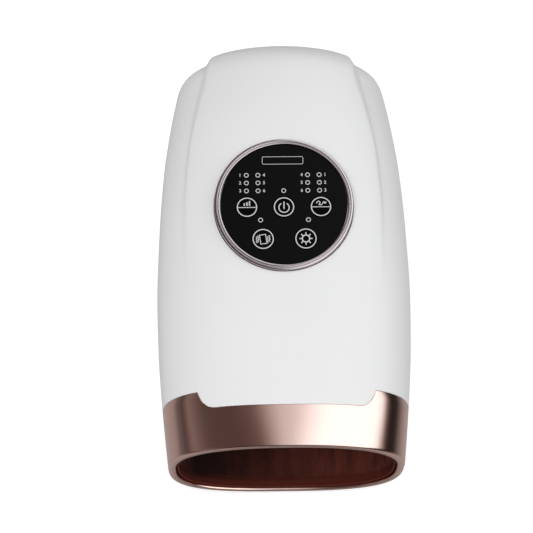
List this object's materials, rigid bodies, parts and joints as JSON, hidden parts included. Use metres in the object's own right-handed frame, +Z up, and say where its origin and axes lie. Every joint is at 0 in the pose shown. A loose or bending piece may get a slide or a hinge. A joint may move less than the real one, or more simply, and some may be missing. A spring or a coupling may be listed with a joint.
{
  "type": "hand massager",
  "caption": "Heated air-compression hand massager: white two-part case, rose metallised cuff round a fabric-lined hand opening, round key panel on top.",
  "frame": {"origin": "on the table under the middle of the case, at the foot pads' undersides", "axes": "+X across the case, to the right seen from the hand opening; +Y from the hand opening to the closed nose; +Z up"},
  "size_m": [0.1432, 0.2497, 0.1004],
  "materials": {
    "white_shell": "white moulded plastic, satin",
    "rose_metal": "rose-gold metallised plastic, glossy",
    "pink_chrome": "pinkish chromed plastic, mirror-like",
    "black_gloss": "black glossy panel with pale print",
    "black_key": "black glossy key cap with a pale printed ring",
    "burgundy_fabric": "dark burgundy satin lining",
    "white_rubber": "pale grey rubber, matte",
    "steel": "plated steel",
    "brass": "turned brass",
    "black_plastic": "black moulded plastic, matte",
    "grey_plastic": "grey moulded plastic, matte",
    "clear_plastic": "clear moulded plastic",
    "green_board": "green circuit board",
    "bag_film": "grey welded film",
    "amber_film": "amber polyimide film",
    "cell_wrap": "blue shrink wrap over a metal can",
    "clear_hose": "milky soft hose"
  },
  "bodies": {
    "case": {"top_shell": "white_shell", "bottom_shell": "white_shell", "cuff_band": "rose_metal", "inner_collar": "black_plastic", "hand_lining": "burgundy_fabric", "upper_airbag": "bag_film", "lower_airbag": "bag_film", "heating_pad": "amber_film", "upper_frame": "grey_plastic", "lower_frame": "grey_plastic", "panel_bezel": "pink_chrome", "panel_lens": "black_gloss", "light_guide": "clear_plastic", "key_board": "green_board", "switch_power": "black_plastic", "switch_intensity": "black_plastic", "switch_mode": "black_plastic", "switch_vibration": "black_plastic", "switch_heat": "black_plastic", "panel_cable": "amber_film", "main_board": "green_board", "charging_socket": "steel", "battery_tray": "black_plastic", "battery_cell_front": "cell_wrap", "battery_cell_back": "cell_wrap", "pump_bracket": "grey_plastic", "pump_motor": "steel", "pump_head": "black_plastic", "lower_valve": "steel", "upper_valve": "steel", "air_manifold": "black_plastic", "lower_hose": "clear_hose", "upper_hose": "clear_hose", "shaker_bracket": "grey_plastic", "shaker_motor": "steel", "foot_pad_1": "white_rubber", "foot_pad_2": "white_rubber", "foot_pad_3": "white_rubber", "foot_pad_4": "white_rubber", "case_screw_1": "steel", "case_screw_2": "steel", "case_screw_3": "steel", "case_screw_4": "steel", "case_screw_5": "steel", "case_screw_6": "steel"},
    "power_key": {"key_power": "black_key"},
    "intensity_key": {"key_intensity": "black_key"},
    "mode_key": {"key_mode": "black_key"},
    "vibration_key": {"key_vibration": "black_key"},
    "heat_key": {"key_heat": "black_key"},
    "crank": {"pump_crank": "brass"},
    "vibration_weight": {"shaker_weight": "brass"},
    "lower_plunger": {"lower_valve_plunger": "brass"},
    "upper_plunger": {"upper_valve_plunger": "brass"}
  },
  "joints": [
    {"name": "power_key_press", "type": "slide", "parent": "case", "child": "power_key", "axis": [0, 0, -1], "range_m": [0, 0.0005], "stiffness_N_per_m": 200, "springref_m": -0.0005},
    {"name": "intensity_key_press", "type": "slide", "parent": "case", "child": "intensity_key", "axis": [0, 0, -1], "range_m": [0, 0.0005], "stiffness_N_per_m": 200, "springref_m": -0.0005},
    {"name": "mode_key_press", "type": "slide", "parent": "case", "child": "mode_key", "axis": [0, 0, -1], "range_m": [0, 0.0005], "stiffness_N_per_m": 200, "springref_m": -0.0005},
    {"name": "vibration_key_press", "type": "slide", "parent": "case", "child": "vibration_key", "axis": [0, 0, -1], "range_m": [0, 0.0005], "stiffness_N_per_m": 200, "springref_m": -0.0005},
    {"name": "heat_key_press", "type": "slide", "parent": "case", "child": "heat_key", "axis": [0, 0, -1], "range_m": [0, 0.0005], "stiffness_N_per_m": 200, "springref_m": -0.0005},
    {"name": "pump_crank_spin", "type": "hinge", "parent": "case", "child": "crank", "pos_m": [0, 0.099, 0.056], "axis": [1, 0, 0], "continuous": true},
    {"name": "shaker_weight_spin", "type": "hinge", "parent": "case", "child": "vibration_weight", "pos_m": [0, -0.02, 0.0137], "axis": [1, 0, 0], "continuous": true},
    {"name": "lower_plunger_slide", "type": "slide", "parent": "case", "child": "lower_plunger", "axis": [-1, 0, 0], "range_m": [0, 0.001], "stiffness_N_per_m": 200, "springref_m": -0.0005},
    {"name": "upper_plunger_slide", "type": "slide", "parent": "case", "child": "upper_plunger", "axis": [-1, 0, 0], "range_m": [0, 0.001], "stiffness_N_per_m": 200, "springref_m": -0.0005}
  ]
}
